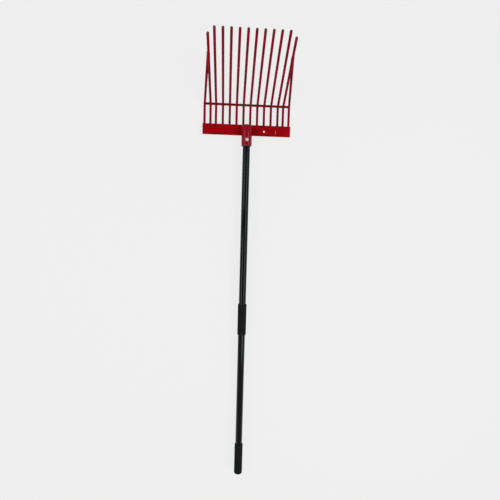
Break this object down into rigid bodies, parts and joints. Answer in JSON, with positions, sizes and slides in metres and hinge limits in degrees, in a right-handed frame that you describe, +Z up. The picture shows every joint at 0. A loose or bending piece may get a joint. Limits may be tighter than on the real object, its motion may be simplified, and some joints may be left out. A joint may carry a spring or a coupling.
{
  "type": "manure fork",
  "caption": "Long-handled manure fork with a welded head of bent round tines on a flat bar, a bolted socket, a tubular handle and two grips, for lifting dung out of bedding.",
  "frame": {"origin": "middle of the fork's outline on the surface that it lies on, under the cross rod's lowest line", "axes": "+X to the right along the bar, +Y along the handle towards the tine tips, +Z up, out of the load side"},
  "size_m": [0.3026, 1.4804, 0.2533],
  "materials": {
    "red_paint": "glossy red powder coat",
    "black_paint": "glossy black paint",
    "grip_rubber": "matte black rubber",
    "zinc": "bright zinc plate"
  },
  "bodies": {
    "root": {"back_bar": "red_paint", "cross_rod": "red_paint", "left_brace": "red_paint", "right_brace": "red_paint", "socket": "red_paint", "socket_cap": "red_paint", "socket_welds": "red_paint", "tine_01": "red_paint", "tine_02": "red_paint", "tine_03": "red_paint", "tine_04": "red_paint", "tine_05": "red_paint", "tine_06": "red_paint", "tine_07": "red_paint", "tine_08": "red_paint", "tine_09": "red_paint", "tine_10": "red_paint", "tine_11": "red_paint", "tine_12": "red_paint", "handle_tube": "black_paint", "mid_grip": "grip_rubber", "end_grip": "grip_rubber", "socket_bolt": "zinc", "bolt_washers": "zinc", "socket_nut": "zinc"}
  },
  "joints": []
}
